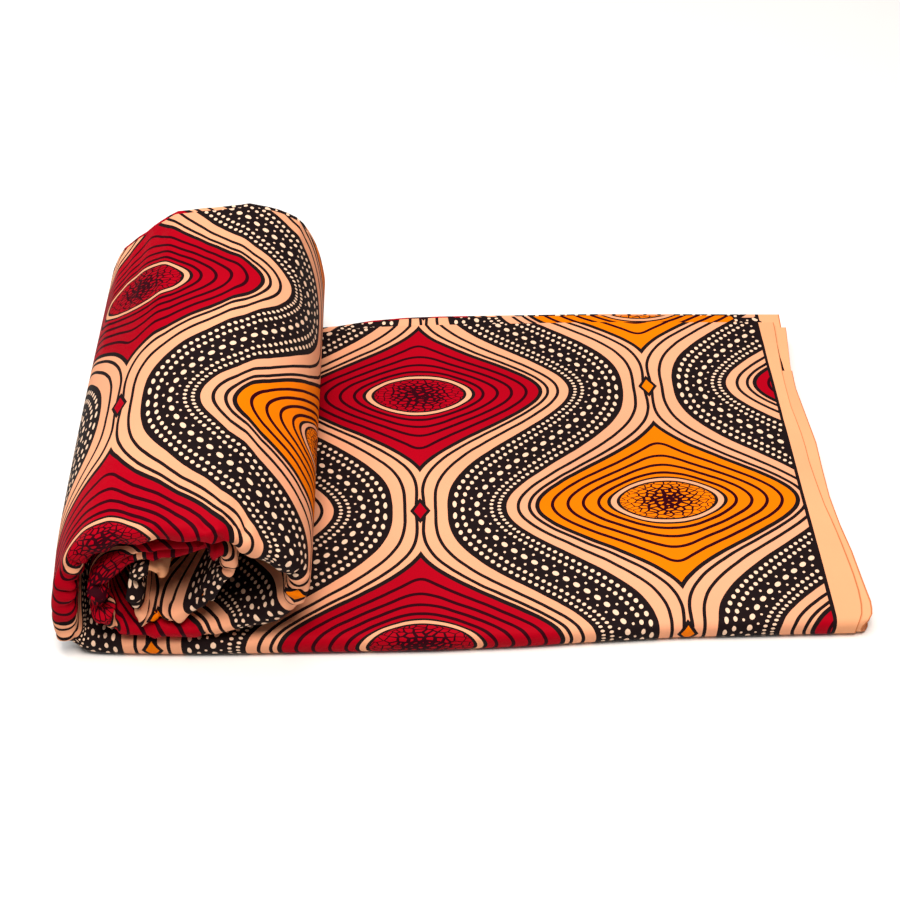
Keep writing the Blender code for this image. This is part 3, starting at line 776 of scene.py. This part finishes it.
# The sharper folds at the near mouth, and six softer ones at the far end: straight ridges and
# grooves on the cloth, each from one place to another. A place is a row of ROLL and a way in
# millimetres round the leaf from the front of the near fold, positive towards the band's outside.
# rise and half_width are in millimetres too. A fold keeps its full rise along its middle, and runs
# out a little past its ends and its sides.
Fold = namedtuple("Fold", "row way end_row end_way rise half_width")
FOLDS = [
    Fold(3.6, 6, 4.6, -6, -1.7, 2.9),
    Fold(4.35, 14, 4.5, -4, 2.4, 4.3),
    Fold(5.2, 4, 5.5, -12, -1.3, 2.6),
    Fold(6.0, 2, 6.3, -16, -1.9, 2.6),
    Fold(6.5, 3, 6.55, -16, 1.1, 2.4),
    Fold(6.85, 3, 7.0, -16, -2.0, 2.2),
    Fold(7.4, 1, 7.2, -16, -1.6, 2.2),
    Fold(7.8, 5, 7.95, -14, 1.5, 2.6),
    Fold(8.3, 5, 8.25, -14, -2.1, 2.4),
    Fold(9.2, -4, 13.3, -6, -1.7, 2.6),
    Fold(10.2, 8, 10.5, -6, -1.2, 3.8),
    Fold(12.2, -3, 13.7, 10, 1.4, 4.2),
    Fold(12.8, 13, 13.8, -6, -2.3, 3.2),
    Fold(13.2, 26, 13.9, 0, 1.6, 4.8),
    Fold(14.2, 22, 14.1, -6, -1.7, 3.5),
    Fold(15.2, 15, 15.6, -6, -1.2, 3.5),
    Fold(16.6, 10, 16.9, -10, -1.6, 2.6),
    Fold(17.3, 12, 17.2, -12, 1.8, 3.5),
    Fold(17.8, 6, 18, -12, -2.0, 2.6),
    Fold(18.4, 10, 18.6, -8, 1.4, 3.5),
    Fold(19.5, -4, 24.5, -2, 2.0, 5.5),
    Fold(20.5, 6, 25.5, 4, -2.4, 4.0),
    Fold(21.8, 12, 22.6, -14, -1.8, 3.6),
    Fold(24.0, 10, 23.4, -12, 2.0, 4.2),
    Fold(25.4, 10, 26.0, -18, -3.0, 3.6),
    Fold(26.5, 6, 26.9, -18, 2.8, 4.0),
    Fold(27.3, 10, 27.0, -20, -3.2, 3.2),
    Fold(27.9, -14, 28.3, 6, 3.0, 3.8),
    Fold(28.5, 8, 29.1, -18, -3.4, 3.4),
    Fold(29.5, 2, 34.6, -4, -3.0, 3.4),
    Fold(31.0, -3, 34.8, -9, 2.0, 4.2),
    Fold(31.2, -9, 34.8, -14, -2.6, 3.4),
    Fold(32.4, 8, 32.0, -12, 1.6, 4.4),
    Fold(34.0, 12, 34.8, -12, -3.0, 3.2),
    Fold(35.2, 10, 35.3, -16, 3.0, 3.6),
    Fold(36.2, 6, 39.6, 1, 2.4, 4.6),
    Fold(36.9, 8, 37.6, -16, -2.6, 3.4),
    Fold(37.6, -8, 39.8, -5, -2.2, 3.4),
    Fold(38.8, 10, 39.0, -12, -2.2, 3.2),
    Fold(40.2, 8, 40.6, -14, 2.4, 3.8),
    Fold(41.0, 10, 41.5, -16, -3.2, 3.2),
    Fold(41.9, 8, 42.1, -18, 3.2, 3.6),
    Fold(42.7, 10, 42.4, -16, -3.2, 3.0),
    Fold(43.6, 8, 43.9, -16, 2.4, 3.8),
    Fold(44.6, 8, 44.4, -14, -2.6, 3.2),
    Fold(45.6, 6, 46.0, -10, 2.2, 3.6),
    Fold(46.8, 8, 47.3, -8, -2.0, 3.2),
    # At the far end
    Fold(8.0, 340, 8.2, 170, 0.9, 7.0),
    Fold(9.1, 340, 9.0, 200, -0.7, 6.0),
    Fold(10.1, 340, 10.3, 150, 1.1, 7.0),
    Fold(11.7, 330, 11.5, 210, -0.6, 7.0),
    Fold(13.0, 340, 12.8, 160, 1.1, 7.0),
    Fold(14.8, 340, 14.9, 190, 1.0, 6.0),
]
END_FADE = 1.2
SIDE_FADE = 1.1
NOSE_RADIUS = 0.0072

# Where the near fold is pushed in, the band is pinched thinner near it. The hidden leaves keep a
# little clear of the outer leaf's crumples there.
THINNER_WHERE_PUSHED = 110
PINCHED_SHARE = 0.06
CLEAR_SHARE = 0.05
CLEAR_THINNING = 0.3
CLEAR_SET_BACK = 0.003


def fold_relief(places, outline):
    """How far the sharp folds lift the cloth along its own normal."""
    share, angle = outline
    way = NOSE_RADIUS * angle + np.sign(angle) * share * FOLD_DEPTH
    travelled = np.interp(places, FINE_PLACES, NEAR_TRAVEL)[:, None]
    relief = 0 * travelled * way
    for fold in FOLDS:
        start, end = np.interp([fold.row, fold.end_row], FINE_PLACES, NEAR_TRAVEL)
        run = np.array([end - start, (fold.end_way - fold.way) / 1000])
        length = np.hypot(*run)
        run /= length
        from_start = (travelled - start, way - fold.way / 1000)
        along = (from_start[0] * run[0] + from_start[1] * run[1]) / length
        aside = from_start[1] * run[0] - from_start[0] * run[1]
        fade = np.clip(END_FADE - (2 * along - 1) ** 2, 0, 1)
        sharp = np.clip(SIDE_FADE - np.abs(aside) / (fold.half_width / 1000), 0, 1)
        relief += fold.rise / 1000 * fade * sharp
    return relief


def crease_rise(places, across, height):
    """How far the creases raise each point, whose height is 1 on the band's outside."""
    rise = 0 * places * across
    for crease in CREASES:
        rows = (places - crease.row) / crease.half_rows
        beside = (across - crease.across) / crease.half_across
        rise += crease.rise * np.exp(-(rows**2) - beside**2)
    for wrinkle in WRINKLES:
        beside = across - wrinkle.across
        rows = (places - wrinkle.row - wrinkle.lean * beside) / wrinkle.half_rows
        puckered = 1 - wrinkle.inside * (1 + height) / 2
        fade = (beside / wrinkle.half_across) ** 2
        rise += puckered * wrinkle.rise * np.exp(-(np.abs(rows) ** WRINKLE_CRISPNESS) - fade)
    return rise


def rolled_leaf(places, outline, leaf, wall, reach, crumpled=1):
    """A leaf's points in the roll. reach is how far its far edge stands out past the fold's depth.

    With crumpled at 0 it is the leaf before the near fold was pressed, which the print keeps to.
    """
    share, angle = outline
    rows = [press.row for press in PRESSES]
    fullness = np.interp(places, rows, [press.fullness for press in PRESSES])[:, None]
    push = np.interp(places, rows, [press.push for press in PRESSES])[:, None] * crumpled
    back, height = near_fold(angle, fullness if crumpled else NOSE_FULLNESS)
    section = Section(*(column[:, None] for column in read_roll(places)))
    near_heading, far_heading = heading(places)
    thin = wall * section.thickness / BAND_THICKNESS
    half = section.thickness / 2 * (1 - leaf / LEAVES) - thin
    clear = np.exp(-share / CLEAR_SHARE) if leaf else 0 * share
    pinched = THINNER_WHERE_PUSHED * push * np.exp(-share / PINCHED_SHARE)
    half = half * (1 - CLEAR_THINNING * clear) * (1 - pinched)
    inset = section.thickness / 2 * leaf / LEAVES + thin
    near = NEAR_Y + section.set_back + inset
    far = NEAR_Y + FOLD_DEPTH - section.draw_in + reach
    y = near + share * (far - near) + (1 - share) * (NOSE * (1 - leaf / LEAVES) * back + push)
    y += CLEAR_SET_BACK * clear
    across = (y - NEAR_Y - section.set_back) / (far - NEAR_Y - section.set_back)
    direction = near_heading[:, None] + share[:, None] * (far_heading - near_heading)[:, None]
    direction /= np.linalg.norm(direction, axis=2, keepdims=True)
    relief = fold_relief(places, outline) * crumpled
    y -= relief * np.cos(angle)
    rise = crease_rise(places[:, None], across, height) * crumpled
    lift = height * half + rise + relief * np.sin(angle)
    x = section.x_near + share * (section.x_far - section.x_near) - direction[..., 1] * lift
    z = section.z_near + share * (section.z_far - section.z_near) + direction[..., 0] * lift
    return np.stack([x - MIDDLE_X, y, np.maximum(z, inset)], -1)


def even_places(first_row, last_row, step):
    """Places from one row of ROLL to another, about a step apart along the band."""
    middle = (NEAR_TRAVEL + FAR_TRAVEL) / 2
    start, end = np.interp([first_row, last_row], FINE_PLACES, middle)
    count = round((end - start) / step) + 1
    return np.interp(np.linspace(start, end, count), middle, FINE_PLACES)


def roll_from_selvedge(places, outline):
    """Distance from the right-hand selvedge. The inner turns take up what the cloth falls short."""
    flat = SELVEDGE_X - SEAM_X
    reads = []
    for travel in (NEAR_TRAVEL, FAR_TRAVEL):
        outer = np.interp(OUTER_TURN_END, FINE_PLACES, travel)
        core_end = np.interp(TOP_LEAF.last_row, FINE_PLACES, travel)
        ease = (CLOTH_WIDTH - flat - outer) / (core_end - outer)
        travelled = np.interp(places, FINE_PLACES, travel)
        reads.append(np.minimum(travelled, outer) + ease * np.maximum(travelled - outer, 0))
    near, far = (read[:, None] for read in reads)
    return flat + near + outline[0] * (far - near)


Turn = namedtuple("Turn", "first_row last_row step slot rests_on")
TURNS = {
    "outer_turn": Turn(0, OUTER_TURN_END, 0.0015, "red_print", "outer_leaf_flat"),
    "second_turn": Turn(
        OUTER_TURN_END, SECOND_TURN_END, 0.0013, "black_print", "outer_leaf_outer_turn"
    ),
    "core_turn": Turn(
        SECOND_TURN_END, TOP_LEAF.last_row, 0.0013, "amber_print", "outer_leaf_second_turn"
    ),
}
for node, turn in TURNS.items():
    places = even_places(turn.first_row, turn.last_row, turn.step)
    outer = rolled_leaf(places, outline, 0, 0, 0)
    inner = rolled_leaf(places, outline, 0, CLOTH_THICKNESS, 0)
    from_selvedge = roll_from_selvedge(places, outline)
    smooth = rolled_leaf(places, outline, 0, 0, 0, crumpled=0)
    round_fold = round_the_leaf(smooth, outline)
    piece = cloth_piece("outer_leaf_" + node, [(outer, inner, from_selvedge, round_fold)])
    dress(piece, node, from_selvedge, round_fold)

# Hidden leaves
# The nine leaves folded inside the outer one. Their edges show as thin layers at the selvedge end
# and along the far side, where no two leaves reach equally far.

HIDDEN_LEAVES = [
    Leaf("second_leaf", "longest_leaf", 0.0000, 0.0030, 0.2225, 0.0040, 0.0042, 47.60),
    Leaf("third_leaf", "longest_leaf", 0.0000, 0.0044, 0.2684, 0.0108, 0.0012, 47.25),
    Leaf("lower_leaf", "longest_leaf", 0.0000, 0.0000, NO_CORNER, 0.0020, 0.0055, 47.75),
    Leaf("lower_leaf", "longest_leaf", 0.0026, 0.0052, NO_CORNER, 0.0000, 0.0020, 47.45),
    Leaf("lower_leaf", "longest_leaf", 0.0008, 0.0022, NO_CORNER, 0.0030, 0.0048, 47.15),
    Leaf("lower_leaf", "longest_leaf", 0.0030, 0.0064, 0.2600, 0.0000, 0.0004, 47.70),
    Leaf("lower_leaf", "longest_leaf", 0.0004, 0.0012, NO_CORNER, 0.0010, 0.0036, 47.35),
    Leaf("lower_leaf", "longest_leaf", 0.0040, 0.0042, NO_CORNER, 0.0000, 0.0050, 47.55),
    Leaf("lower_leaf", "longest_leaf", 0.0016, 0.0004, NO_CORNER, 0.0020, 0.0026, 47.20),
]

# The hidden leaves' edges show the print further on, and their meshes are coarser.
HIDDEN_PRINT_SHIFT = 0.058
HIDDEN_STEP = 0.0066
hidden_outline = leaf_outline(face_points=16, nose_points=11)
hidden_along = rows_along(close_from=0.86, wide_rows=14, close_rows=13)
flat_walls, rolled_walls = [], []
for leaf, hidden in enumerate(HIDDEN_LEAVES, 1):
    outer, from_selvedge = flat_leaf(hidden_along, hidden_outline, leaf, 0, hidden)
    inner = flat_leaf(hidden_along, hidden_outline, leaf, CLOTH_THICKNESS, hidden)[0]
    fold_start = leaf * 2 * FOLD_DEPTH + HIDDEN_PRINT_SHIFT
    round_fold = round_the_leaf(outer, hidden_outline) + fold_start
    flat_walls.append((outer, inner, from_selvedge, round_fold))
    places = even_places(0, hidden.last_row, HIDDEN_STEP)
    outer = rolled_leaf(places, hidden_outline, leaf, 0, hidden.rolled_reach)
    inner = rolled_leaf(places, hidden_outline, leaf, CLOTH_THICKNESS, hidden.rolled_reach)
    from_selvedge = roll_from_selvedge(places, hidden_outline)
    smooth = rolled_leaf(places, hidden_outline, leaf, 0, hidden.rolled_reach, crumpled=0)
    round_fold = round_the_leaf(smooth, hidden_outline) + fold_start
    rolled_walls.append((outer, inner, from_selvedge, round_fold))
for name, walls, nodes, width in (
    ("hidden_leaves_flat", flat_walls, ["hidden_layers"], 0.37),
    ("hidden_leaves_rolled", rolled_walls, [], 0.82),
):
    piece = cloth_piece(name, walls)
    piece.data.materials.append(cotton)
    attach(piece, "root")
    if nodes:
        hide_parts(*nodes)

# Studio
# A plain pale floor under soft light from above. The floor lies just clear of the cloth, and the
# camera stands where the photo's did.

FLOOR_SIZE = 12
FLOOR_GAP = 0.0003
PALE = (0.84, 0.84, 0.835, 1)
bpy.ops.mesh.primitive_plane_add(size=FLOOR_SIZE, location=(0, 0, -FLOOR_GAP))
floor = bpy.context.object
floor.name = "floor"
paper = bpy.data.materials.new("white_paper")
paper.use_nodes = True
paper_shader = paper.node_tree.nodes["Principled BSDF"]
paper_shader.inputs["Base Color"].default_value = PALE
paper_shader.inputs["Roughness"].default_value = 0.9
floor.data.materials.append(paper)

world = bpy.data.worlds.new("studio")
bpy.context.scene.world = world
world.use_nodes = True
world.node_tree.nodes["Background"].inputs["Color"].default_value = (1.0, 1.0, 1.0, 1)
world.node_tree.nodes["Background"].inputs["Strength"].default_value = 0.12

SoftLight = namedtuple("SoftLight", "name place size watts colour")
for light in (
    SoftLight("key_light", (-0.85, 0.22, 2.65), 2.4, 69, (1.0, 1.0, 1.0)),
    SoftLight("front_light", (0.10, -0.40, 1.65), 0.7, 26, (1.0, 0.90, 0.82)),
):
    lamp = bpy.data.lights.new(light.name, "AREA")
    lamp.color = light.colour
    lamp.size = light.size
    lamp.energy = light.watts
    lamp_object = bpy.data.objects.new(light.name, lamp)
    lamp_object.location = light.place
    aim = -np.array(light.place)
    lamp_object.rotation_euler = (
        math.atan2(math.hypot(aim[0], aim[1]), -aim[2]),
        0,
        math.atan2(aim[1], aim[0]) - math.pi / 2,
    )
    bpy.context.scene.collection.objects.link(lamp_object)

camera_data = bpy.data.cameras.new("camera")
camera_data.lens = 54.28
camera = bpy.data.objects.new("camera", camera_data)
camera.location = (-0.02261, -0.60339, 0.67017)
camera.rotation_euler = (math.radians(43), 0, math.radians(-1.31))
bpy.context.scene.collection.objects.link(camera)
bpy.context.scene.camera = camera
bpy.context.scene.view_settings.view_transform = "Standard"
